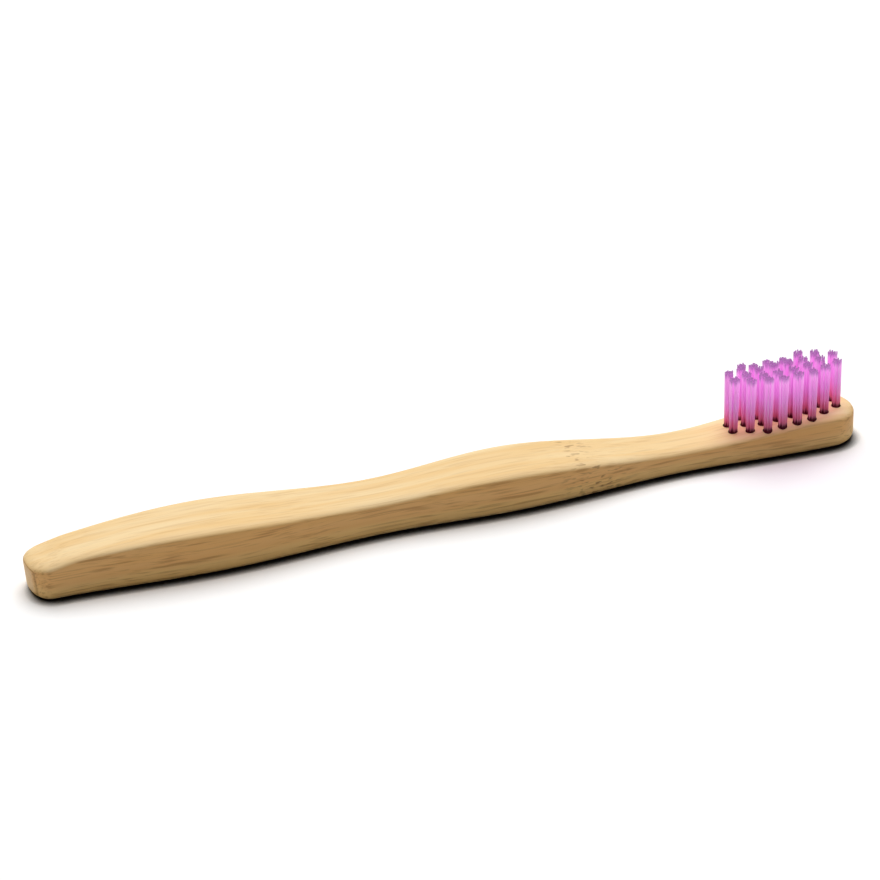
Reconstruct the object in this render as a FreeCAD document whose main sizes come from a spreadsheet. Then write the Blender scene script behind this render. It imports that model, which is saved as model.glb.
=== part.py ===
# Child's manual toothbrush: a bamboo handle with 26 nylon tufts, each held by a flat metal anchor.
# Millimetres. The brush lies on its flat back: +X runs from the butt to the tip, +Z is the bristle side.
import FreeCAD, Part
import os
import Sketcher

doc = FreeCAD.newDocument("toothbrush")

# Driving dimensions
sizes = doc.addObject("Spreadsheet::Sheet", "Sizes")
dimensions = {
    # spans along the handle, from one swell or waist to the next
    "butt_to_grip": 31.9,
    "grip_to_waist": 28.5,
    "waist_to_thumb": 22.5,
    "thumb_to_neck": 27.0,
    "neck_to_tufts": 11.5,
    "tip_margin": 3.3,
    "tip_oval_length": 4.9,
    # widths across the handle, seen from above
    "butt_width": 8.45,
    "butt_oval_length": 4.2,
    "grip_width": 11.4,
    "waist_width": 8.76,
    "thumb_width": 10.8,
    "neck_width": 7.56,
    "head_edge_margin": 0.8,
    # thicknesses of the handle, seen from the side
    "butt_thickness": 6.1,
    "butt_rise": 1.57,
    "grip_thickness": 7.75,
    "waist_thickness": 6.2,
    "thumb_thickness": 7.0,
    "neck_thickness": 4.3,
    "tip_thickness": 5.8,
    # eased edges
    "top_edge_bevel": 0.7,
    "bottom_edge_bevel": 0.6,
    # drilled holes for the tufts
    "column_pitch": 2.63,
    "row_pitch": 2.18,
    "hole_diameter": 1.6,
    "hole_floor": 1.3,
    # tufts, each a bundle folded under its anchor and trimmed level
    "tuft_clearance": 0.05,
    "tuft_tip_diameter": 1.9,
    "trim_height": 15.0,
    "fold_thickness": 0.4,
    "fold_bevel": 0.3,
    # anchors, cut from flat wire
    "anchor_width": 1.9,
    "anchor_height": 1.3,
    "anchor_thickness": 0.25,
    "anchor_angle": 45.0,
}
for row, (alias, number) in enumerate(dimensions.items(), start=1):
    sizes.set(f"A{row}", alias)
    sizes.set(f"B{row}", str(number))
    sizes.setAlias(f"B{row}", alias)
doc.recompute()

# Tufts in each column, from the neck end to the tip
tufts_per_column = (2, 3, 4, 4, 4, 4, 3, 2)
# Flat sides of a bundle, few because there are so many bundles
tuft_sides = 10
# Share of a quarter oval's side at which a cubic curve's handle stands
oval_handle = 0.5523
# Share of the span from the butt to the grip at which the first handle stands
butt_handle = 0.3333
# Share of the span from the neck to the head's end at which the last handle stands
head_handle = 0.45
# Room by which a cutting outline passes the wood
overrun = 2.0


class Term:
    # A number, and the expression over the sheet's cells that gives it
    def __init__(self, value, text):
        self.value = value
        self.text = text

    def joined(self, sign, other, value):
        return Term(value, f"({self.text} {sign} {as_term(other).text})")

    def __add__(self, other):
        return self.joined("+", other, self.value + as_term(other).value)

    def __sub__(self, other):
        return self.joined("-", other, self.value - as_term(other).value)

    def __mul__(self, other):
        return self.joined("*", other, self.value * as_term(other).value)

    def __truediv__(self, other):
        return self.joined("/", other, self.value / as_term(other).value)


def as_term(item):
    return item if isinstance(item, Term) else Term(item, str(item))


def size(alias):
    return Term(float(getattr(sizes, alias)), f"Sizes.{alias}")


# Stations along the handle, from the butt
grip_at = size("butt_to_grip")
waist_at = grip_at + size("grip_to_waist")
thumb_at = waist_at + size("waist_to_thumb")
neck_at = thumb_at + size("thumb_to_neck")
tufts_at = neck_at + size("neck_to_tufts")
tip_at = tufts_at + size("column_pitch") * (len(tufts_per_column) - 1) + size("tip_margin")
shoulder_at = tip_at - size("tip_oval_length")
centre_at = tip_at / 2
# The head is as wide as its widest column of holes and a margin of wood on each side
head_half_width = (
    size("row_pitch") * (max(tufts_per_column) - 1) / 2
    + size("hole_diameter") / 2
    + size("head_edge_margin")
)
anchor_floor = size("hole_floor") + size("fold_thickness")
tuft_root_radius = size("hole_diameter") / 2 - size("tuft_clearance")


def bind(item, path, term):
    item.setExpression(path, term.text)


def put(item, x, y):
    # Moves an item from the butt's frame, where y of None is the middle plane, to the brush's centre
    bind(item, ".Placement.Base.x", x - centre_at)
    if y is not None:
        bind(item, ".Placement.Base.y", y)


def column_places(column, tuft_count):
    # Tufts of one column, spread evenly about the middle plane, the near side first
    x = tufts_at + size("column_pitch") * (column - 1)
    offsets = [step - (tuft_count - 1) / 2 for step in range(tuft_count)]
    return [(x, size("row_pitch") * offset if offset else None) for offset in offsets]


def tuft_places():
    return [
        place
        for column, tuft_count in enumerate(tufts_per_column, start=1)
        for place in column_places(column, tuft_count)
    ]


def new_sketch(body, name, role, height=None):
    sketch = body.newObject("Sketcher::SketchObject", name)
    plane = next(item for item in body.Origin.OriginFeatures if item.Role == role)
    sketch.AttachmentSupport = [(plane, "")]
    sketch.MapMode = "FlatFace"
    if height is not None:
        bind(sketch, ".AttachmentOffset.Base.z", height)
    return sketch


def pin(sketch, geometry, position, x, y):
    # Fixes a point by its distances from the sketch's axes; None puts it on an axis
    for kind, axis, term in (("DistanceX", -2, x), ("DistanceY", -1, y)):
        if term is None:
            sketch.addConstraint(Sketcher.Constraint("PointOnObject", geometry, position, axis))
        else:
            index = sketch.addConstraint(
                Sketcher.Constraint(kind, -1, 1, geometry, position, as_term(term).value)
            )
            bind(sketch, f"Constraints[{index}]", as_term(term))


def vector(x, y):
    return FreeCAD.Vector(x.value if x else 0, y.value if y else 0, 0)


def join(sketch, first, second):
    sketch.addConstraint(Sketcher.Constraint("Coincident", first, 2, second, 1))


def add_spline(sketch, through, start_handle, end_handle):
    # One smooth curve through the given points, with its end directions set by two handles
    curve = Part.BSplineCurve()
    points = [vector(*point) for point in through]
    curve.interpolate(
        Points=points,
        InitialTangent=vector(*start_handle) - points[0],
        FinalTangent=points[-1] - vector(*end_handle),
    )
    spline = sketch.addGeometry(curve)
    sketch.exposeInternalGeometry(spline)
    first_pole = spline + 1
    first_knot = first_pole + curve.NbPoles
    for step, point in enumerate(through):
        pin(sketch, first_knot + step, 1, *point)
    pin(sketch, first_pole + 1, 3, *start_handle)
    pin(sketch, first_pole + curve.NbPoles - 2, 3, *end_handle)
    return spline


def add_quarter_oval(sketch, poles):
    # A cubic curve round one end, with its two handles pinned
    curve = Part.BezierCurve()
    curve.setPoles([vector(*pole) for pole in poles])
    oval = sketch.addGeometry(curve.toBSpline())
    sketch.exposeInternalGeometry(oval)
    for step in (1, 2):
        pin(sketch, oval + 1 + step, 3, *poles[step])
    return oval


def add_line(sketch, start, end):
    return sketch.addGeometry(Part.LineSegment(vector(*start), vector(*end)))


def add_polygon(sketch, corners):
    # A closed outline of straight lines, each corner pinned
    lines = [add_line(sketch, corners[step - 1], corner) for step, corner in enumerate(corners)]
    for step, line in enumerate(lines):
        join(sketch, lines[step - 1], line)
        pin(sketch, line, 2, *corners[step])


def add_side(plan, side, inset):
    # One long side of an outline, from the middle of the butt's end to the tip
    def flank_at(width):
        return (width / 2 - (inset or 0)) * side

    end_at = tip_at - (inset or 0)
    butt_half = flank_at(size("butt_width"))
    head_half = flank_at(head_half_width * 2)
    butt_shoulder = (size("butt_oval_length"), butt_half)
    butt_handle_at = size("butt_oval_length") * (1 - oval_handle) + (inset or 0) * oval_handle
    shoulder = (shoulder_at, head_half)
    butt_oval = add_quarter_oval(
        plan,
        [
            (inset, None),
            (inset, butt_half * oval_handle),
            (butt_handle_at, butt_half),
            butt_shoulder,
        ],
    )
    flank = add_spline(
        plan,
        [
            butt_shoulder,
            (grip_at, flank_at(size("grip_width"))),
            (waist_at, flank_at(size("waist_width"))),
            (thumb_at, flank_at(size("thumb_width"))),
            (neck_at, flank_at(size("neck_width"))),
            shoulder,
        ],
        (grip_at * butt_handle, butt_half),
        (shoulder_at - (shoulder_at - neck_at) * head_handle, head_half),
    )
    tip_oval = add_quarter_oval(
        plan,
        [
            shoulder,
            (shoulder_at + (end_at - shoulder_at) * oval_handle, head_half),
            (end_at, head_half * oval_handle),
            (end_at, None),
        ],
    )
    join(plan, butt_oval, flank)
    join(plan, flank, tip_oval)
    return butt_oval, tip_oval


def make_outline(body, name, height, inset):
    # The plan seen from above, drawn in all round by the inset, if there is one
    plan = new_sketch(body, name, "XY_Plane", height)
    far_butt, far_tip = add_side(plan, 1, inset)
    near_butt, near_tip = add_side(plan, -1, inset)
    pin(plan, far_butt, 1, inset, None)
    pin(plan, far_tip, 2, tip_at - (inset or 0), None)
    plan.addConstraint(Sketcher.Constraint("Coincident", far_butt, 1, near_butt, 1))
    plan.addConstraint(Sketcher.Constraint("Coincident", far_tip, 2, near_tip, 2))
    return plan


def make_handle_blank():
    # The bamboo handle: a bevelled base, its plan padded above it, and the top cut to the side profile
    body = doc.addObject("PartDesign::Body", "handle_blank")
    base = make_outline(body, "base_outline", None, size("bottom_edge_bevel"))
    plan = make_outline(body, "plan_outline", size("bottom_edge_bevel"), None)
    doc.recompute()
    bevel = body.newObject("PartDesign::AdditiveLoft", "bevelled_base")
    bevel.Profile = base
    bevel.Sections = [(plan, [""])]
    bevel.Ruled = True
    doc.recompute()
    pad = body.newObject("PartDesign::Pad", "flat_blank")
    pad.Profile = plan
    bind(pad, "Length", size("grip_thickness") + overrun)
    doc.recompute()

    profile = new_sketch(body, "side_profile", "XZ_Plane")
    cut_top = size("grip_thickness") + size("bottom_edge_bevel") + 2 * overrun
    butt_top = (None, size("butt_thickness"))
    tip_top = (tip_at, size("tip_thickness"))
    butt_end = (as_term(-overrun), size("butt_thickness"))
    tip_end = (tip_at + overrun, size("tip_thickness"))
    butt_lead = add_line(profile, butt_end, butt_top)
    top = add_spline(
        profile,
        [
            butt_top,
            (grip_at, size("grip_thickness")),
            (waist_at, size("waist_thickness")),
            (thumb_at, size("thumb_thickness")),
            (neck_at, size("neck_thickness")),
            tip_top,
        ],
        (grip_at * butt_handle, size("butt_thickness") + size("butt_rise")),
        (tip_at - (tip_at - neck_at) * head_handle, size("tip_thickness")),
    )
    tip_lead = add_line(profile, tip_top, tip_end)
    corners = [tip_end, (tip_at + overrun, cut_top), (as_term(-overrun), cut_top), butt_end]
    upper = [add_line(profile, start, end) for start, end in zip(corners, corners[1:])]
    outline = [butt_lead, top, tip_lead, *upper]
    for step, piece in enumerate(outline):
        join(profile, outline[step - 1], piece)
    for line, corner in zip([tip_lead, *upper], corners):
        pin(profile, line, 2, *corner)
    shaped = body.newObject("PartDesign::Pocket", "shaped_top")
    shaped.Profile = profile
    shaped.Type = "ThroughAll"
    shaped.SideType = "Symmetric"
    doc.recompute()

    top_face = max(range(len(body.Shape.Faces)), key=lambda face: body.Shape.Faces[face].CenterOfMass.z)
    bevelled = body.newObject("PartDesign::Chamfer", "top_bevel")
    bevelled.Base = (shaped, [f"Face{top_face + 1}"])
    bind(bevelled, "Size", size("top_edge_bevel"))
    doc.recompute()

    holes = new_sketch(body, "tuft_holes", "XY_Plane", size("hole_floor"))
    circles = []
    for x, y in tuft_places():
        circle = Part.Circle(vector(x, y), FreeCAD.Vector(0, 0, 1), size("hole_diameter").value / 2)
        circles.append(holes.addGeometry(circle))
        pin(holes, circles[-1], 3, x, y)
        if len(circles) > 1:
            holes.addConstraint(Sketcher.Constraint("Equal", circles[0], circles[-1]))
    index = holes.addConstraint(
        Sketcher.Constraint("Diameter", circles[0], size("hole_diameter").value)
    )
    bind(holes, f"Constraints[{index}]", size("hole_diameter"))
    solid_volume = body.Shape.Volume
    drilled = body.newObject("PartDesign::Pocket", "drilled_holes")
    drilled.Profile = holes
    drilled.Type = "ThroughAll"
    drilled.Reversed = True
    doc.recompute()
    if body.Shape.Volume >= solid_volume:
        raise RuntimeError("the tuft holes cut nothing")
    bind(body, ".Placement.Base.x", as_term(0) - centre_at)
    return body


def make_tuft_blank(name, x, y):
    # A bundle: its fold sits on the hole's floor and its tips flare to the trimmed top
    rings = (
        ("fold", tuft_root_radius - size("fold_bevel"), size("hole_floor")),
        ("root", tuft_root_radius, size("hole_floor") + size("fold_bevel")),
        ("rim", tuft_root_radius, size("tip_thickness")),
        ("trim", size("tuft_tip_diameter") / 2, size("trim_height")),
    )
    sections = []
    for level, radius, height in rings:
        section = doc.addObject("Part::RegularPolygon", f"{name}_{level}")
        section.Polygon = tuft_sides
        bind(section, "Circumradius", radius)
        bind(section, ".Placement.Base.z", height)
        put(section, x, y)
        sections.append(section)
    bundle = doc.addObject("Part::Loft", f"{name}_bundle")
    bundle.Sections = sections
    bundle.Solid = True
    bundle.Ruled = True
    return bundle


def make_anchor(name, x, y):
    # A piece of flat wire across the hole, with both ends in the wood
    body = doc.addObject("PartDesign::Body", name)
    section = new_sketch(body, f"{name}_section", "XY_Plane", anchor_floor)
    half_width = size("anchor_width") / 2
    half_thickness = size("anchor_thickness") / 2
    add_polygon(
        section,
        [
            (half_width * -1, half_thickness * -1),
            (half_width, half_thickness * -1),
            (half_width, half_thickness),
            (half_width * -1, half_thickness),
        ],
    )
    plate = body.newObject("PartDesign::Pad", f"{name}_plate")
    plate.Profile = section
    bind(plate, "Length", size("anchor_height"))
    put(body, x, y)
    bind(body, ".Placement.Rotation.Angle", size("anchor_angle"))
    doc.recompute()
    return body


def cut(name, base, tool):
    result = doc.addObject("Part::Cut", name)
    result.Base = base
    result.Tool = tool
    return result


# The pieces, each in a file of its own
tufts = []
anchors = []
for column, tuft_count in enumerate(tufts_per_column, start=1):
    for row, (x, y) in enumerate(column_places(column, tuft_count), start=1):
        place = f"c{column}_r{row}"
        anchors.append(make_anchor(f"anchor_{place}", x, y))
        tufts.append(cut(f"tuft_{place}", make_tuft_blank(f"tuft_{place}", x, y), anchors[-1]))
slits = doc.addObject("Part::Compound", "anchor_slits")
slits.Links = anchors
handle = cut("handle", make_handle_blank(), slits)
pieces = [handle, *tufts, *anchors]
doc.recompute()

for item in doc.Objects:
    if "Invalid" in item.State or "Error" in item.State:
        raise RuntimeError(f"{item.Label} failed: {item.getStatusString()}")
for piece in pieces:
    if piece.Shape.isNull() or not piece.Shape.isValid() or len(piece.Shape.Solids) != 1:
        raise RuntimeError(f"{piece.Label} is not one valid solid")
os.makedirs("parts", exist_ok=True)
for piece in pieces:
    piece.Shape.exportStep(f"parts/{piece.Label}.step")
box = handle.Shape.BoundBox
print(f"{len(pieces)} pieces, handle {box.XLength:.1f} mm long")
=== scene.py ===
# Child's bamboo toothbrush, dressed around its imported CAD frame. Metres, +X butt to tip, +Z bristle side.
import math
import bmesh
import bpy
import numpy as np
from mathutils import Matrix, Vector
from mathutils.bvhtree import BVHTree


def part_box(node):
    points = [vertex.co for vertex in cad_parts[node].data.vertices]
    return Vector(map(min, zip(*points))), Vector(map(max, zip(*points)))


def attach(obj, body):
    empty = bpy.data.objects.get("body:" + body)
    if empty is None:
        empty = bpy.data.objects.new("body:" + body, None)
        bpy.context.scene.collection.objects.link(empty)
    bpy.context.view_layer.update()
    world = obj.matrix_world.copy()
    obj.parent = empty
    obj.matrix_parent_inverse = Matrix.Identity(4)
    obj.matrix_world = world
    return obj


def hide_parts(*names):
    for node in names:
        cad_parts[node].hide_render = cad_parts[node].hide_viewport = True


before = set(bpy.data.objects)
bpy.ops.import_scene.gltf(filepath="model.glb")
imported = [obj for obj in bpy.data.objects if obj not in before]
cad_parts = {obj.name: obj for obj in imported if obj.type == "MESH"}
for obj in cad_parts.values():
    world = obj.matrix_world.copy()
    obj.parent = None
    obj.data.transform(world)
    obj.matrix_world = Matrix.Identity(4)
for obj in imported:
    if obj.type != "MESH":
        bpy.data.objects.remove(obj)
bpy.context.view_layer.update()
mm = 0.001
scene = bpy.context.scene


def hexColor(text):
    # sRGB hex to linear RGBA
    parts = [int(text[at:at + 2], 16) / 255 for at in (1, 3, 5)]
    return tuple(p / 12.92 if p <= 0.04045 else ((p + 0.055) / 1.055) ** 2.4 for p in parts) + (1.0,)


def addNode(tree, kind, inputs=None, **settings):
    # A node with its settings; an input is a plain value, a socket, or a node for its first output
    node = tree.nodes.new(kind)
    for name, value in settings.items():
        setattr(node, name, value)
    for socket, value in (inputs or {}).items():
        if isinstance(value, bpy.types.Node):
            value = value.outputs[0]
        if isinstance(value, bpy.types.NodeSocket):
            tree.links.new(value, node.inputs[socket])
        else:
            node.inputs[socket].default_value = value
    return node


def newMaterial(name):
    material = bpy.data.materials.new(name)
    material.use_nodes = True
    material.node_tree.nodes.clear()
    return material, material.node_tree


def placeObject(name, data):
    item = bpy.data.objects.new(name, data)
    scene.collection.objects.link(item)
    return item


# Materials

bambooLook = {
    # name, length and width in mm, and detail of each noise along the fibres
    "streaks": (("tone", 70.0, 2.6, 3.0), ("fibre", 26.0, 0.34, 2.0), ("bundle", 13.0, 0.476, 1.0)),
    "streakRoughness": 0.55,
    "toneStops": ((0.36, "#f3cc8d"), (0.62, "#f9dca8")),
    "fibre": "#a3692b", "fibreShareTop": 0.16, "fibreShareSide": 0.5,
    "fibreFrom": 0.55, "fibreFull": 0.72, "bundleFrom": 0.56, "bundleFull": 0.70,   # limits in the noise
    "topAbove": 0.85, "sideBelow": 0.25,                # how far the normal points up
    "sideUpper": "#e6a858", "sideLower": "#f1c070", "sideShare": 0.75,
    "sideSplitMm": 2.6, "sideSoftMm": 0.5, "sideWaveMm": 3.0,
    "endGrainAndHighlight": "#f0cfa0", "endFrom": 0.88, "endFull": 0.95, "endShare": 0.6,       # and how far to the butt
    "endLine": "#8a5a26", "endLineAt": 0.85, "endLineHalf": 0.06, "endLineShare": 0.55,
    "nodeBrown": "#7d4a1e", "nodeAtMm": 22.5, "nodeHalfMm": 3.4, "nodeCoreMm": 0.6, "nodeShareTop": 0.5,
    "sideNodeShiftMm": 2.5, "sideNodeExtraMm": 4.5, "nodeShareSide": 0.7,
    "wanderMm": 6.0, "wanderGrainMm": 20 / 7,
    "fleckLengthMm": 1.6, "fleckWidthMm": 0.55, "fleckFrom": 0.57, "fleckFull": 0.66, "knuckleDetail": 1.0,
    "reliefMm": 0.05, "reliefStrength": 0.25,
    "roughFrom": 0.3, "roughFull": 0.7, "roughLeast": 0.52, "roughMost": 0.62, "ior": 1.5, "specular": 0.35,
}


def makeBamboo(look):
    # Bare bamboo, planed and sanded: long pale fibres, fine dark bundles, a speckled knuckle and a soft sheen
    material, tree = newMaterial("bamboo_sanded")
    coords = addNode(tree, "ShaderNodeTexCoord").outputs
    inMm = addNode(tree, "ShaderNodeVectorMath", {0: coords["Object"], 3: 1 / mm}, operation="SCALE")
    place = addNode(tree, "ShaderNodeSeparateXYZ", {0: inMm}).outputs
    facing = addNode(tree, "ShaderNodeSeparateXYZ", {0: coords["Normal"]}).outputs
    upward = addNode(tree, "ShaderNodeMath", {0: facing["Z"]}, operation="ABSOLUTE")
    sideways = addNode(tree, "ShaderNodeMapRange", {0: upward, 1: look["topAbove"], 2: look["sideBelow"]})
    streaks = {}
    for name, lengthMm, widthMm, detail in look["streaks"]:
        stretched = addNode(tree, "ShaderNodeMapping", {
            0: inMm, "Scale": (1 / lengthMm, 1 / widthMm, 1 / widthMm)})
        streaks[name] = addNode(tree, "ShaderNodeTexNoise", {
            0: stretched, "Scale": 1.0, "Detail": detail, "Roughness": look["streakRoughness"]})
    ground = addNode(tree, "ShaderNodeValToRGB", {0: streaks["tone"]})
    for element, (position, colour) in zip(ground.color_ramp.elements, look["toneStops"]):
        element.position = position
        element.color = hexColor(colour)
    fibres = addNode(tree, "ShaderNodeMapRange", {
        0: streaks["fibre"], 1: look["fibreFrom"], 2: look["fibreFull"]})
    bundles = addNode(tree, "ShaderNodeMapRange", {
        0: streaks["bundle"], 1: look["bundleFrom"], 2: look["bundleFull"]})
    lines = addNode(tree, "ShaderNodeMath", {0: fibres, 1: bundles}, operation="MAXIMUM")
    lineDepth = addNode(tree, "ShaderNodeMapRange", {
        0: sideways, 3: look["fibreShareTop"], 4: look["fibreShareSide"]})
    lineShare = addNode(tree, "ShaderNodeMath", {0: lines, 1: lineDepth}, operation="MULTIPLY")

    # The sides are cut across the wall of the cane, where fibres are denser and browner
    wave = addNode(tree, "ShaderNodeMath", {
        0: streaks["tone"], 1: look["sideWaveMm"], 2: -look["sideWaveMm"] / 2}, operation="MULTIPLY_ADD")
    wavyZ = addNode(tree, "ShaderNodeMath", {0: place["Z"], 1: wave}, operation="ADD")
    upper = addNode(tree, "ShaderNodeMapRange", {
        0: wavyZ, 1: look["sideSplitMm"] - look["sideSoftMm"], 2: look["sideSplitMm"] + look["sideSoftMm"]})
    sideTone = addNode(tree, "ShaderNodeMix", {
        0: upper, "A": hexColor(look["sideLower"]), "B": hexColor(look["sideUpper"])}, data_type="RGBA")
    sideShare = addNode(tree, "ShaderNodeMath", {0: sideways, 1: look["sideShare"]}, operation="MULTIPLY")
    cane = addNode(tree, "ShaderNodeMix", {
        0: sideShare, "A": ground, "B": sideTone.outputs["Result"]}, data_type="RGBA")
    withFibre = addNode(tree, "ShaderNodeMix", {
        0: lineShare, "A": cane.outputs["Result"], "B": hexColor(look["fibre"])}, data_type="RGBA")

    # The butt is sawn across the fibres: paler there, end grain with a painted highlight, and a brown line
    # where the end turns into the side
    endward = addNode(tree, "ShaderNodeMath", {0: facing["X"], 1: -1.0}, operation="MULTIPLY")
    endShare = addNode(tree, "ShaderNodeMapRange", {
        0: endward, 1: look["endFrom"], 2: look["endFull"], 4: look["endShare"]})
    withEnd = addNode(tree, "ShaderNodeMix", {
        0: endShare, "A": withFibre.outputs["Result"], "B": hexColor(look["endGrainAndHighlight"])}, data_type="RGBA")
    pastLine = addNode(tree, "ShaderNodeMath", {0: endward, 1: look["endLineAt"]}, operation="SUBTRACT")
    fromLine = addNode(tree, "ShaderNodeMath", {0: pastLine}, operation="ABSOLUTE")
    endEdgeLine = addNode(tree, "ShaderNodeMapRange", {
        0: fromLine, 2: look["endLineHalf"], 3: look["endLineShare"], 4: 0.0})
    withLine = addNode(tree, "ShaderNodeMix", {
        0: endEdgeLine, "A": withEnd.outputs["Result"], "B": hexColor(look["endLine"])}, data_type="RGBA")

    # The knuckle: a band with small dark flecks, wandering a little along the handle
    wander = addNode(tree, "ShaderNodeTexNoise", {
        0: inMm, "Scale": 1 / look["wanderGrainMm"], "Detail": look["knuckleDetail"]})
    shift = addNode(tree, "ShaderNodeMath", {
        0: wander, 1: look["wanderMm"], 2: -look["wanderMm"] / 2}, operation="MULTIPLY_ADD")
    along = addNode(tree, "ShaderNodeMath", {0: place["X"], 1: shift}, operation="ADD")
    # On the sides the knuckle shows wider and a little nearer to the head
    nodeAt = addNode(tree, "ShaderNodeMath", {
        0: sideways, 1: look["sideNodeShiftMm"], 2: look["nodeAtMm"]}, operation="MULTIPLY_ADD")
    nodeHalf = addNode(tree, "ShaderNodeMath", {
        0: sideways, 1: look["sideNodeExtraMm"], 2: look["nodeHalfMm"]}, operation="MULTIPLY_ADD")
    pastNode = addNode(tree, "ShaderNodeMath", {0: along, 1: nodeAt}, operation="SUBTRACT")
    fromNode = addNode(tree, "ShaderNodeMath", {0: pastNode}, operation="ABSOLUTE")
    band = addNode(tree, "ShaderNodeMapRange", {
        0: fromNode, 1: nodeHalf, 2: look["nodeCoreMm"]}, interpolation_type="SMOOTHSTEP")
    fleckPlace = addNode(tree, "ShaderNodeMapping", {0: inMm, "Scale": (
        1 / look["fleckLengthMm"], 1 / look["fleckWidthMm"], 1 / look["fleckWidthMm"])})
    fleckGrain = addNode(tree, "ShaderNodeTexNoise", {
        0: fleckPlace, "Scale": 1.0, "Detail": look["knuckleDetail"]})
    fleck = addNode(tree, "ShaderNodeMapRange", {0: fleckGrain, 1: look["fleckFrom"], 2: look["fleckFull"]})
    inBand = addNode(tree, "ShaderNodeMath", {0: fleck, 1: band}, operation="MULTIPLY")
    nodeDepth = addNode(tree, "ShaderNodeMapRange", {
        0: sideways, 3: look["nodeShareTop"], 4: look["nodeShareSide"]})
    fleckShare = addNode(tree, "ShaderNodeMath", {0: inBand, 1: nodeDepth}, operation="MULTIPLY")
    colour = addNode(tree, "ShaderNodeMix", {
        0: fleckShare, "A": withLine.outputs["Result"], "B": hexColor(look["nodeBrown"])}, data_type="RGBA")

    relief = addNode(tree, "ShaderNodeBump", {
        "Strength": look["reliefStrength"], "Distance": look["reliefMm"] * mm, "Height": lines}, invert=True)
    rough = addNode(tree, "ShaderNodeMapRange", {
        0: streaks["tone"], 1: look["roughFrom"], 2: look["roughFull"],
        3: look["roughLeast"], 4: look["roughMost"]})
    shader = addNode(tree, "ShaderNodeBsdfPrincipled", {
        "Base Color": colour.outputs["Result"], "Roughness": rough, "IOR": look["ior"],
        "Specular IOR Level": look["specular"], "Normal": relief})
    addNode(tree, "ShaderNodeOutputMaterial", {0: shader})
    return material


drilledLook = {
    "holeDarkest": "#2e1408", "holeBrown": "#5c2f16", "grainMm": 1 / 3, "grainDetail": 2.0,
    "roughness": 0.8, "ior": 1.5,
}


def makeDrilledBamboo(look):
    # Bamboo inside the holes: dark and dull, so that each hole has a dark rim
    material, tree = newMaterial("bamboo_drilled")
    coords = addNode(tree, "ShaderNodeTexCoord").outputs
    inMm = addNode(tree, "ShaderNodeVectorMath", {0: coords["Object"], 3: 1 / mm}, operation="SCALE")
    grain = addNode(tree, "ShaderNodeTexNoise", {
        0: inMm, "Scale": 1 / look["grainMm"], "Detail": look["grainDetail"]})
    colour = addNode(tree, "ShaderNodeMix", {
        0: grain, "A": hexColor(look["holeDarkest"]), "B": hexColor(look["holeBrown"])}, data_type="RGBA")
    shader = addNode(tree, "ShaderNodeBsdfPrincipled", {
        "Base Color": colour.outputs["Result"], "Roughness": look["roughness"], "IOR": look["ior"]})
    addNode(tree, "ShaderNodeOutputMaterial", {0: shader})
    return material


nylonLook = {
    # share of the visible height, and colour: paler than they look, as strands deepen each other's colour;
    # painted shade deepens the colour towards the wood, darkest at the hole
    "stops": ((0.015, "#86203a"), (0.085, "#f59fc0"), (0.25, "#fcc4ea"), (0.5, "#fdd6fa")),
    "visibleMm": 9.5,
    "strandMm": 0.24, "strandLengthMm": 20.0, "strandScale": 0.7, "strandDetail": 1.0,
    "pale": "#fff2ff", "paleFrom": 0.45, "paleFull": 0.7, "paleShare": 0.6,
    "tip": "#cf98d4", "tipMm": 0.9, "tipShare": 0.85,
    "roughness": 0.3, "ior": 1.53, "letThrough": 0.6, "lampTint": "#f8eef7",
}


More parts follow.
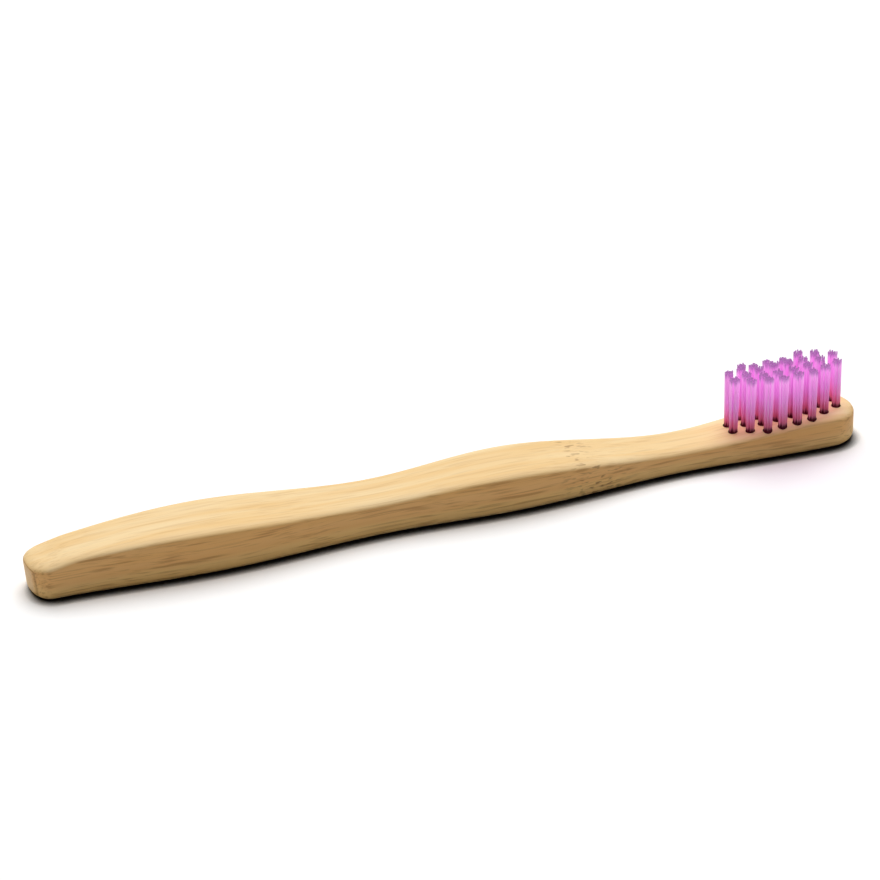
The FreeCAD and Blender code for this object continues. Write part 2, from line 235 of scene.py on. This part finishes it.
def makeNylon(look):
    # Extruded nylon filament, dyed lilac: lets light through, shines along its length, with painted shade
    # darkening it at the wood
    material, tree = newMaterial("nylon_extruded_lilac")
    coords = addNode(tree, "ShaderNodeTexCoord").outputs
    inMm = addNode(tree, "ShaderNodeVectorMath", {0: coords["Object"], 3: 1 / mm}, operation="SCALE")
    rise = addNode(tree, "ShaderNodeAttribute", attribute_name="riseMm")
    toTip = addNode(tree, "ShaderNodeAttribute", attribute_name="toTipMm")
    height = addNode(tree, "ShaderNodeMapRange", {0: rise.outputs["Fac"], 2: look["visibleMm"]})
    # Dye colour by height, with painted shade low down and darkest where the strands leave the hole
    dyedWithPaintedShade = addNode(tree, "ShaderNodeValToRGB", {0: height})
    elements = dyedWithPaintedShade.color_ramp.elements
    while len(elements) < len(look["stops"]):
        elements.new(0.5)
    for element, (position, colour) in zip(elements, look["stops"]):
        element.position = position
        element.color = hexColor(colour)
    # Filaments differ a little in depth of colour, and their cut ends are duller
    across = addNode(tree, "ShaderNodeMapping", {0: inMm, "Scale": (
        1 / look["strandMm"], 1 / look["strandMm"], 1 / look["strandLengthMm"])})
    strand = addNode(tree, "ShaderNodeTexNoise", {
        0: across, "Scale": look["strandScale"], "Detail": look["strandDetail"]})
    strandPale = addNode(tree, "ShaderNodeMapRange", {
        0: strand, 1: look["paleFrom"], 2: look["paleFull"], 4: look["paleShare"]})
    paleShare = addNode(tree, "ShaderNodeMath", {0: strandPale, 1: height}, operation="MULTIPLY")
    varied = addNode(tree, "ShaderNodeMix", {
        0: paleShare, "A": dyedWithPaintedShade, "B": hexColor(look["pale"])}, data_type="RGBA")
    tipShare = addNode(tree, "ShaderNodeMapRange", {
        0: toTip.outputs["Fac"], 1: look["tipMm"], 2: 0.0, 4: look["tipShare"]})
    tipped = addNode(tree, "ShaderNodeMix", {
        0: tipShare, "A": varied.outputs["Result"], "B": hexColor(look["tip"])}, data_type="RGBA")
    shine = addNode(tree, "ShaderNodeBsdfPrincipled", {
        "Base Color": tipped.outputs["Result"], "Roughness": look["roughness"], "IOR": look["ior"]})
    through = addNode(tree, "ShaderNodeBsdfTranslucent", {"Color": tipped.outputs["Result"]})
    milky = addNode(tree, "ShaderNodeMixShader", {0: look["letThrough"], 1: shine, 2: through})
    # Clear strands hardly shade each other: lamps shine through them with a lilac tint
    path = addNode(tree, "ShaderNodeLightPath")
    clear = addNode(tree, "ShaderNodeBsdfTransparent", {"Color": hexColor(look["lampTint"])})
    shader = addNode(tree, "ShaderNodeMixShader", {0: path.outputs["Is Shadow Ray"], 1: milky, 2: clear})
    addNode(tree, "ShaderNodeOutputMaterial", {0: shader})
    return material


brassLook = {
    "dark": "#c9a75f", "light": "#e3c684", "lineLengthMm": 0.5, "lineWidthMm": 0.05, "lineDetail": 2.0,
    "roughFrom": 0.3, "roughFull": 0.7, "roughLeast": 0.25, "roughMost": 0.42,
}


def makeAnchorBrass(look):
    # Brass wire rolled flat: pale yellow metal with drawing lines along it
    material, tree = newMaterial("brass_rolled_wire")
    coords = addNode(tree, "ShaderNodeTexCoord").outputs
    inMm = addNode(tree, "ShaderNodeVectorMath", {0: coords["Object"], 3: 1 / mm}, operation="SCALE")
    drawn = addNode(tree, "ShaderNodeMapping", {0: inMm, "Scale": (
        1 / look["lineLengthMm"], 1 / look["lineLengthMm"], 1 / look["lineWidthMm"])})
    lines = addNode(tree, "ShaderNodeTexNoise", {0: drawn, "Scale": 1.0, "Detail": look["lineDetail"]})
    rough = addNode(tree, "ShaderNodeMapRange", {
        0: lines, 1: look["roughFrom"], 2: look["roughFull"], 3: look["roughLeast"], 4: look["roughMost"]})
    colour = addNode(tree, "ShaderNodeMix", {
        0: lines, "A": hexColor(look["dark"]), "B": hexColor(look["light"])}, data_type="RGBA")
    shader = addNode(tree, "ShaderNodeBsdfPrincipled", {
        "Base Color": colour.outputs["Result"], "Metallic": 1.0, "Roughness": rough})
    addNode(tree, "ShaderNodeOutputMaterial", {0: shader})
    return material


bamboo = makeBamboo(bambooLook)
drilledBamboo = makeDrilledBamboo(drilledLook)
nylon = makeNylon(nylonLook)
brass = makeAnchorBrass(brassLook)
print("materials made")

# Handle: the CAD outline and top line, with the rounded edges that sanding leaves

handleLook = {
    "buttOval": 4.2 * mm, "tipOval": 4.9 * mm,          # plan lengths of the two rounded ends
    "buttSquare": 2.4,                                  # 2 is an oval, more is squarer
    "topRadius": 0.85 * mm, "bottomRadius": 1.0 * mm,   # edges along the handle
    "topInset": 2.1,                                    # the top edge is this many times as wide as it is deep
    "insetLimit": 0.6,                                  # but no wider than this share of the butt's half width
    "buttTopRadius": 1.15 * mm, "buttFade": 9 * mm,
    "tipTopRadius": 1.3 * mm, "tipFade": 12 * mm,
    "buttDrop": 0.6 * mm, "dropReach": 8 * mm,          # the top sinks a little at the butt
    "buttLean": 0.7 * mm, "leanReach": 4.2 * mm,        # and the butt leans in towards the floor
    "flankSteps": 260, "ovalSteps": 16, "topSteps": 8, "sideSteps": 5, "bottomSteps": 5, "rows": 12,
    # where the CAD handle is measured, and how far its facets are evened out
    "samples": 900, "castFrom": 1.0, "sideAt": 2.5 * mm, "topLines": (0.1 * mm, 1.09 * mm),
    "endMargin": 1.5 * mm, "smoothing": 2.5 * mm,
    "holeRadius": 0.8 * mm, "holeFloor": 1.3 * mm, "holeSides": 24, "cutterTop": 12 * mm,
    "sharpAngle": 50.0,
}


def smoothLine(values, step, width):
    # Evens out the facets of the CAD mesh; the ends are level, so they are mirrored
    reach = int(3 * width / step)
    weights = np.exp(-0.5 * (np.arange(-reach, reach + 1) * step / width) ** 2)
    padded = np.pad(values, reach, mode="reflect")
    return np.convolve(padded, weights / weights.sum(), mode="valid")


def readHandle(look):
    # The ends of the CAD handle, and its half width and top height along it
    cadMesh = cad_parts["handle"].data
    tree = BVHTree.FromPolygons([v.co for v in cadMesh.vertices], [p.vertices for p in cadMesh.polygons])
    low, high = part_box("handle")

    def halfWidth(x):
        hit = tree.ray_cast(Vector((x, look["castFrom"], look["sideAt"])), Vector((0, -1, 0)))[0]
        return hit.y if hit else 0.0

    def topHeight(x):
        starts = [Vector((x, y, look["castFrom"])) for y in look["topLines"]]
        hits = [tree.ray_cast(start, Vector((0, 0, -1)))[0] for start in starts]
        return max((hit.z for hit in hits if hit), default=0.0)

    def measure(start, end, reading):
        places = np.linspace(start, end, look["samples"])
        readings = np.array([reading(x) for x in places])
        return places, smoothLine(readings, places[1] - places[0], look["smoothing"])

    sideLine = measure(low.x + look["buttOval"], high.x - look["tipOval"], halfWidth)
    topLine = measure(low.x + look["endMargin"], high.x - look["endMargin"], topHeight)
    return (low.x, high.x), sideLine, topLine


def fade(distance, reach):
    # 1 at no distance, smoothly down to 0 at reach
    share = np.clip(1 - distance / reach, 0, 1)
    return share * share * (3 - 2 * share)


def makeHandle(look, ends, sideLine, topLine):
    (buttEnd, tipEnd), (flank, widths) = ends, sideLine
    # The far half of the plan, from the middle of the butt to the middle of the tip
    turns = np.linspace(0, math.pi / 2, look["ovalSteps"], endpoint=False)
    buttX = flank[0] - look["buttOval"] * np.cos(turns) ** (2 / look["buttSquare"])
    buttY = widths[0] * np.sin(turns) ** (2 / look["buttSquare"])
    tipX = flank[-1] + look["tipOval"] * np.cos(turns[::-1])
    tipY = widths[-1] * np.sin(turns[::-1])
    flankX = np.linspace(flank[0], flank[-1], look["flankSteps"])
    planX = np.concatenate([buttX, flankX, tipX])
    planY = np.concatenate([buttY, np.interp(flankX, flank, widths), tipY])
    slopeX, slopeY = np.gradient(planX), np.gradient(planY)
    slopeX[0] = slopeX[-1] = 0.0
    slopeLength = np.hypot(slopeX, slopeY)
    outX, outY = -slopeY / slopeLength, slopeX / slopeLength

    nearButt = fade(planX - buttEnd, look["buttFade"])
    nearTip = fade(tipEnd - planX, look["tipFade"])
    topRadius = (look["topRadius"] + (look["buttTopRadius"] - look["topRadius"]) * nearButt
                 + (look["tipTopRadius"] - look["topRadius"]) * nearTip)
    topInset = np.minimum(topRadius * look["topInset"], look["insetLimit"] * widths[0])
    bottomRadius = np.full_like(planX, look["bottomRadius"])

    def topAt(x):
        return np.interp(x, *topLine) - look["buttDrop"] * fade(x - buttEnd, look["dropReach"])

    # Rings from the floor up, each as its inset from the plan and its height
    rings = []
    for step in range(look["bottomSteps"] + 1):
        turn = step / look["bottomSteps"] * math.pi / 2
        rings.append((bottomRadius * (1 - math.sin(turn)), bottomRadius * (1 - math.cos(turn))))
    for step in range(1, look["sideSteps"]):
        climb = (topAt(planX) - topRadius - bottomRadius) * (step / look["sideSteps"])
        rings.append((np.zeros_like(planX), bottomRadius + climb))
    for step in range(look["topSteps"] + 1):
        turn = step / look["topSteps"] * math.pi / 2
        inset = topInset * (1 - math.cos(turn))
        rings.append((inset, topAt(planX - outX * inset) - topRadius * (1 - math.sin(turn))))

    mesh = bmesh.new()
    count = len(planX)
    # Middle points at the two ends are shared by both sides
    grid = []
    for inset, z in rings:
        lean = look["buttLean"] * fade(planX - buttEnd, look["leanReach"]) * (1 - z / topAt(planX))
        x, y = planX - outX * inset + lean, np.maximum(planY - outY * inset, 0.0)
        y[0] = y[-1] = 0.0
        far = [mesh.verts.new((x[i], y[i], z[i])) for i in range(count)]
        near = [far[0]] + [mesh.verts.new((x[i], -y[i], z[i])) for i in range(1, count - 1)] + [far[-1]]
        grid.append((far, near))
    for (farLow, nearLow), (farHigh, nearHigh) in zip(grid, grid[1:]):
        for i in range(count - 1):
            mesh.faces.new((farLow[i], farHigh[i], farHigh[i + 1], farLow[i + 1]))
            mesh.faces.new((nearLow[i], nearLow[i + 1], nearHigh[i + 1], nearHigh[i]))
    # The flat back and the top, in rows from the near side to the far side
    for (far, near), isTop in ((grid[0], False), (grid[-1], True)):
        spans = []
        for i in range(count):
            if i in (0, count - 1):
                spans.append([far[i]] * (look["rows"] + 1))
                continue
            row = [near[i]]
            for step in range(1, look["rows"]):
                row.append(mesh.verts.new(near[i].co.lerp(far[i].co, step / look["rows"])))
            spans.append(row + [far[i]])
        for first, second in zip(spans, spans[1:]):
            for step in range(look["rows"]):
                corners = [first[step], second[step], second[step + 1], first[step + 1]]
                corners = list(dict.fromkeys(corners))
                mesh.faces.new(corners if isTop else corners[::-1])
    bmesh.ops.recalc_face_normals(mesh, faces=mesh.faces)
    data = bpy.data.meshes.new("handle_bamboo")
    mesh.to_mesh(data)
    mesh.free()
    data.materials.append(bamboo)
    data.materials.append(drilledBamboo)
    return data


def drillHoles(data, look):
    # One cutter with a plug for each tuft hole
    cutter = bmesh.new()
    plugMiddle = (look["holeFloor"] + look["cutterTop"]) / 2
    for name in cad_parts:
        if name.startswith("tuft_"):
            low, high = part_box(name)
            middle = (low + high) / 2
            bmesh.ops.create_cone(
                cutter, cap_ends=True, segments=look["holeSides"], radius1=look["holeRadius"],
                radius2=look["holeRadius"], depth=look["cutterTop"] - look["holeFloor"],
                matrix=Matrix.Translation((middle.x, middle.y, plugMiddle)))
    cutterData = bpy.data.meshes.new("hole_cutter")
    cutter.to_mesh(cutterData)
    cutter.free()
    cutterData.materials.append(drilledBamboo)
    cutterItem = placeObject("hole_cutter", cutterData)
    blank = placeObject("handle_blank", data)
    drill = blank.modifiers.new("drill", "BOOLEAN")
    drill.object = cutterItem
    drill.solver = "EXACT"
    drill.material_mode = "TRANSFER"
    bpy.context.view_layer.update()
    drilled = bpy.data.meshes.new_from_object(blank.evaluated_get(bpy.context.evaluated_depsgraph_get()))
    for item in (blank, cutterItem):
        bpy.data.objects.remove(item)
    drilled.name = "handle_bamboo"
    drilled.polygons.foreach_set("use_smooth", [True] * len(drilled.polygons))
    drilled.set_sharp_from_angle(angle=math.radians(look["sharpAngle"]))
    return drilled


handleEnds, handleSide, handleTop = readHandle(handleLook)
handleBlank = makeHandle(handleLook, handleEnds, handleSide, handleTop)
handle = placeObject("handle_bamboo", drillHoles(handleBlank, handleLook))
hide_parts("handle")
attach(handle, "root")
print("handle made,", len(handle.data.polygons), "faces")

# Tufts: each a bundle of filaments, held in its hole by the anchor between its two halves

tuftLook = {
    # fewer and thicker filaments than on the real brush, so that they show
    "filaments": 24, "filamentRadius": 0.125 * mm, "filamentSides": 5, "filamentSteps": 5,
    "rootRadius": 0.60 * mm, "tipRadius": 0.78 * mm, "tipWander": 0.12 * mm,
    "anchorHalf": 0.125 * mm, "anchorAngle": 45.0,
    "uneven": 0.55 * mm, "unevenPower": 2.0,            # most filaments end near the tuft's own height
    "shorter": 0.45 * mm, "farShorter": 0.8 * mm,       # tufts differ, and three at the far side are lower
    "farColumns": (3, 4, 5), "farRow": 4,
    "seed": 7, "cutSeed": 50,
}
goldenAngle = math.pi * (3 - math.sqrt(5))
neverZero = 1e-9                                        # gives a strand on the middle line a side
tuftInputs = (
    ("Root", "NodeSocketVector"), ("Length", "NodeSocketFloat"), ("Filaments", "NodeSocketInt"),
    ("Filament Radius", "NodeSocketFloat"), ("Root Radius", "NodeSocketFloat"),
    ("Tip Radius", "NodeSocketFloat"), ("Tip Wander", "NodeSocketFloat"), ("Uneven", "NodeSocketFloat"),
    ("Anchor Normal", "NodeSocketVector"), ("Anchor Half", "NodeSocketFloat"), ("Rim", "NodeSocketFloat"),
    ("Seed", "NodeSocketInt"), ("Material", "NodeSocketMaterial"),
)


def makeTuftTree(look):
    tree = bpy.data.node_groups.new("tuft_filaments", "GeometryNodeTree")
    tree.interface.new_socket("Geometry", in_out="OUTPUT", socket_type="NodeSocketGeometry")
    sockets = {}
    for name, kind in tuftInputs:
        sockets[name] = tree.interface.new_socket(name, in_out="INPUT", socket_type=kind).identifier
    given = addNode(tree, "NodeGroupInput").outputs
    line = addNode(tree, "GeometryNodeCurvePrimitiveLine", {"Start": (0, 0, 0), "End": (0, 0, 1)})
    steps = addNode(tree, "GeometryNodeResampleCurve", {"Curve": line, "Count": look["filamentSteps"] + 1})
    roots = addNode(tree, "GeometryNodePoints", {"Count": given["Filaments"]})
    copies = addNode(tree, "GeometryNodeInstanceOnPoints", {"Points": roots, "Instance": steps})
    strands = addNode(tree, "GeometryNodeRealizeInstances", {0: copies})

    # Every strand's place in the bundle comes from its own number, in a sunflower pattern
    along = addNode(tree, "GeometryNodeSplineParameter").outputs["Factor"]
    number = addNode(tree, "GeometryNodeCurveOfPoint").outputs["Curve Index"]
    turned = addNode(tree, "ShaderNodeMath", {0: number, 1: goldenAngle}, operation="MULTIPLY")
    spin = addNode(tree, "ShaderNodeMath", {0: turned, 1: given["Seed"]}, operation="ADD")
    counted = addNode(tree, "ShaderNodeMath", {0: number, 1: 0.5}, operation="ADD")
    areaShare = addNode(tree, "ShaderNodeMath", {0: counted, 1: given["Filaments"]}, operation="DIVIDE")
    out = addNode(tree, "ShaderNodeMath", {0: areaShare}, operation="SQRT")
    cosine = addNode(tree, "ShaderNodeMath", {0: spin}, operation="COSINE")
    sine = addNode(tree, "ShaderNodeMath", {0: spin}, operation="SINE")
    spokeX = addNode(tree, "ShaderNodeMath", {0: cosine, 1: out}, operation="MULTIPLY")
    spokeY = addNode(tree, "ShaderNodeMath", {0: sine, 1: out}, operation="MULTIPLY")
    spoke = addNode(tree, "ShaderNodeCombineXYZ", {0: spokeX, 1: spokeY})
    rooted = addNode(tree, "ShaderNodeVectorMath", {0: spoke, 3: given["Root Radius"]}, operation="SCALE")

    # Strands that would stand in the anchor are pushed out on the side they are on
    side = addNode(tree, "ShaderNodeVectorMath", {
        0: rooted, 1: given["Anchor Normal"]}, operation="DOT_PRODUCT").outputs["Value"]
    clear = addNode(tree, "ShaderNodeMath", {
        0: given["Anchor Half"], 1: given["Filament Radius"]}, operation="ADD")
    away = addNode(tree, "ShaderNodeMath", {0: side}, operation="ABSOLUTE")
    apart = addNode(tree, "ShaderNodeMath", {0: away, 1: clear}, operation="MAXIMUM")
    nudged = addNode(tree, "ShaderNodeMath", {0: side, 1: neverZero}, operation="ADD")
    whichSide = addNode(tree, "ShaderNodeMath", {0: nudged}, operation="SIGN")
    wanted = addNode(tree, "ShaderNodeMath", {0: whichSide, 1: apart}, operation="MULTIPLY")
    push = addNode(tree, "ShaderNodeMath", {0: wanted, 1: side}, operation="SUBTRACT")
    pushed = addNode(tree, "ShaderNodeVectorMath", {0: given["Anchor Normal"], 3: push}, operation="SCALE")
    splitRoot = addNode(tree, "ShaderNodeVectorMath", {0: rooted, 1: pushed}, operation="ADD")

    # Tips spread and stray, and each strand is cut a little shorter by chance
    wander = addNode(tree, "FunctionNodeRandomValue", {
        "Min": (-1, -1, 0), "Max": (1, 1, 0), "ID": number, "Seed": given["Seed"]}, data_type="FLOAT_VECTOR")
    strayed = addNode(tree, "ShaderNodeVectorMath", {0: wander, 3: given["Tip Wander"]}, operation="SCALE")
    spread = addNode(tree, "ShaderNodeVectorMath", {0: spoke, 3: given["Tip Radius"]}, operation="SCALE")
    tipOffset = addNode(tree, "ShaderNodeVectorMath", {0: spread, 1: strayed}, operation="ADD")
    cutSeed = addNode(tree, "ShaderNodeMath", {0: given["Seed"], 1: look["cutSeed"]}, operation="ADD")
    chance = addNode(tree, "FunctionNodeRandomValue", {
        "Min": 0.0, "Max": 1.0, "ID": number, "Seed": cutSeed}).outputs["Value"]
    rarely = addNode(tree, "ShaderNodeMath", {0: chance, 1: look["unevenPower"]}, operation="POWER")
    cutOff = addNode(tree, "ShaderNodeMath", {0: given["Uneven"], 1: rarely}, operation="MULTIPLY")
    length = addNode(tree, "ShaderNodeMath", {0: given["Length"], 1: cutOff}, operation="SUBTRACT")
    lean = addNode(tree, "ShaderNodeMix", {
        0: along, "A": splitRoot, "B": tipOffset}, data_type="VECTOR").outputs["Result"]
    climbed = addNode(tree, "ShaderNodeMath", {0: along, 1: length}, operation="MULTIPLY")
    rise = addNode(tree, "ShaderNodeCombineXYZ", {2: climbed})
    risen = addNode(tree, "ShaderNodeVectorMath", {0: lean, 1: rise}, operation="ADD")
    place = addNode(tree, "ShaderNodeVectorMath", {0: risen, 1: given["Root"]}, operation="ADD")

    # Heights above the rim of the hole and below the tip, for the material
    aboveRim = addNode(tree, "ShaderNodeMath", {0: climbed, 1: given["Rim"]}, operation="SUBTRACT")
    belowTip = addNode(tree, "ShaderNodeMath", {0: length, 1: climbed}, operation="SUBTRACT")
    marked = strands
    for name, height in (("riseMm", aboveRim), ("toTipMm", belowTip)):
        inMm = addNode(tree, "ShaderNodeMath", {0: height, 1: mm}, operation="DIVIDE")
        marked = addNode(tree, "GeometryNodeStoreNamedAttribute", {
            "Geometry": marked, "Name": name, "Value": inMm}, data_type="FLOAT", domain="POINT")
    bent = addNode(tree, "GeometryNodeSetPosition", {"Geometry": marked, "Position": place})
    ring = addNode(tree, "GeometryNodeCurvePrimitiveCircle", {
        "Resolution": look["filamentSides"], "Radius": given["Filament Radius"]})
    tubes = addNode(tree, "GeometryNodeCurveToMesh", {
        "Curve": bent, "Profile Curve": ring, "Fill Caps": True})
    smooth = addNode(tree, "GeometryNodeSetShadeSmooth", {"Geometry": tubes})
    real = addNode(tree, "GeometryNodeRealizeInstances", {0: smooth})
    dyedWithPaintedShade = addNode(tree, "GeometryNodeSetMaterial", {"Geometry": real, "Material": given["Material"]})
    addNode(tree, "NodeGroupOutput", {0: dyedWithPaintedShade})
    return tree, sockets


def makeTuft(name, tree, sockets, look, number):
    low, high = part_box(name)
    middle = (low + high) / 2
    column, row = (int(part[1:]) for part in name.split("_")[1:])
    draw = np.random.default_rng(look["seed"] + number)
    cut = look["shorter"] * draw.random()
    if column in look["farColumns"] and row == look["farRow"]:
        cut += look["farShorter"]
    angle = math.radians(look["anchorAngle"])
    values = {
        "Root": (middle.x, middle.y, low.z), "Length": high.z - low.z - cut, "Filaments": look["filaments"],
        "Filament Radius": look["filamentRadius"], "Root Radius": look["rootRadius"],
        "Tip Radius": look["tipRadius"], "Tip Wander": look["tipWander"], "Uneven": look["uneven"],
        "Anchor Normal": (-math.sin(angle), math.cos(angle), 0.0), "Anchor Half": look["anchorHalf"],
        "Rim": float(np.interp(middle.x, *handleTop)) - low.z,
        "Seed": look["seed"] + number, "Material": nylon,
    }
    item = placeObject(f"{name}_filaments", bpy.data.meshes.new(name))
    growth = item.modifiers.new("filaments", "NODES")
    growth.node_group = tree
    for key, value in values.items():
        growth[sockets[key]] = value
    bpy.context.view_layer.update()
    grown = bpy.data.meshes.new_from_object(item.evaluated_get(bpy.context.evaluated_depsgraph_get()))
    item.modifiers.remove(growth)
    item.data = grown
    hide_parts(name)
    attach(item, "root")
    return item


tuftTree, tuftSockets = makeTuftTree(tuftLook)
tuftNames = sorted(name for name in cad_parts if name.startswith("tuft_"))
tufts = [makeTuft(name, tuftTree, tuftSockets, tuftLook, number) for number, name in enumerate(tuftNames)]
print("tufts made,", len(tufts), "of", len(tufts[0].data.polygons), "faces each")

for name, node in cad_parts.items():
    if name.startswith("anchor_"):
        node.data.materials.clear()
        node.data.materials.append(brass)
print("anchors finished")

# Floor, light and camera

stageLook = {
    "floorSize": 6.0, "worldStrength": 0.03,
    "bounceWhite": 1.0, "seenWhite": 1.06,              # the floor is a little over white where it is seen
    # painted shade along the line of contact: how far wood is looked for, how dark, and where it fades out
    "contactMm": 2.3, "contactDark": 0.02, "contactFrom": 0.4, "contactEnd": 0.84, "lampward": (0.0, 0.87, 0.5),
    # name, place, power, width and height: a softbox above and behind
    "lamps": (("key", (0.4, 1.34, 3.2), 174.0, 3.6, 3.6),),
}


def makeFloor(look):
    # Matt white paper: even white that keeps the soft shadow, with painted shade for a dark line along the
    # contact
    material, tree = newMaterial("paper_white_matt")
    path = addNode(tree, "ShaderNodeLightPath")
    white = addNode(tree, "ShaderNodeMapRange", {
        0: path.outputs["Is Camera Ray"], 3: look["bounceWhite"], 4: look["seenWhite"]})
    # The painted contact shade is almost black on the side away from the lamp, so wood is looked for towards
    # the lamp
    lampward = addNode(tree, "ShaderNodeCombineXYZ", dict(enumerate(look["lampward"])))
    nearby = addNode(tree, "ShaderNodeAmbientOcclusion", {
        "Distance": look["contactMm"] * mm, "Normal": lampward})
    paintedContactShade = addNode(tree, "ShaderNodeMapRange", {
        0: nearby.outputs["AO"], 1: look["contactFrom"], 2: look["contactEnd"], 3: look["contactDark"]})
    seen = addNode(tree, "ShaderNodeMath", {0: white, 1: paintedContactShade}, operation="MULTIPLY")
    paper = addNode(tree, "ShaderNodeBsdfDiffuse", {"Color": seen})
    addNode(tree, "ShaderNodeOutputMaterial", {0: paper})
    floorData = bpy.data.meshes.new("floor")
    half = look["floorSize"] / 2
    corners = [(-half, -half, 0), (half, -half, 0), (half, half, 0), (-half, half, 0)]
    floorData.from_pydata(corners, [], [(0, 1, 2, 3)])
    floorData.materials.append(material)
    floor = placeObject("floor", floorData)


def makeLight(look):
    # A world that is white to the camera and almost dark to the object, and the lamps
    world = bpy.data.worlds.new("studio")
    scene.world = world
    world.use_nodes = True
    tree = world.node_tree
    tree.nodes.clear()
    path = addNode(tree, "ShaderNodeLightPath")
    strength = addNode(tree, "ShaderNodeMapRange", {
        0: path.outputs["Is Camera Ray"], 3: look["worldStrength"], 4: 1.0})
    sky = addNode(tree, "ShaderNodeBackground", {"Color": (1, 1, 1, 1), "Strength": strength})
    addNode(tree, "ShaderNodeOutputWorld", {0: sky})
    for name, at, watts, width, height in look["lamps"]:
        data = bpy.data.lights.new(name, "AREA")
        data.shape = "RECTANGLE"
        data.energy, data.size, data.size_y = watts, width, height
        lamp = placeObject(name, data)
        lamp.location = at
        lamp.rotation_euler = Vector(at).to_track_quat("Z", "Y").to_euler()
        lamp.visible_camera = False


# The view of the photograph: 21 degrees round from the front, 31 degrees up, a long lens about a metre away
cameraLook = {
    "at": (-0.311155, -0.82124, 0.54108), "azimuth": 20.683, "elevation": 31.021,
    "lens": 260.07, "sensor": 36.0, "clipStart": 0.01,
}


def makeCamera(look):
    data = bpy.data.cameras.new("camera")
    data.sensor_width = look["sensor"]
    data.lens = look["lens"]
    data.clip_start = look["clipStart"]
    camera = placeObject("camera", data)
    turn, tilt = math.radians(look["azimuth"]), math.radians(look["elevation"])
    right = Vector((math.cos(turn), -math.sin(turn), 0))
    up = Vector((math.sin(turn) * math.sin(tilt), math.cos(turn) * math.sin(tilt), math.cos(tilt)))
    pose = Matrix((right, up, right.cross(up))).transposed().to_4x4()
    pose.translation = look["at"]
    camera.matrix_world = pose
    scene.camera = camera


makeFloor(stageLook)
makeLight(stageLook)
makeCamera(cameraLook)
scene.view_settings.view_transform = "Standard"
print("stage, light and camera set")
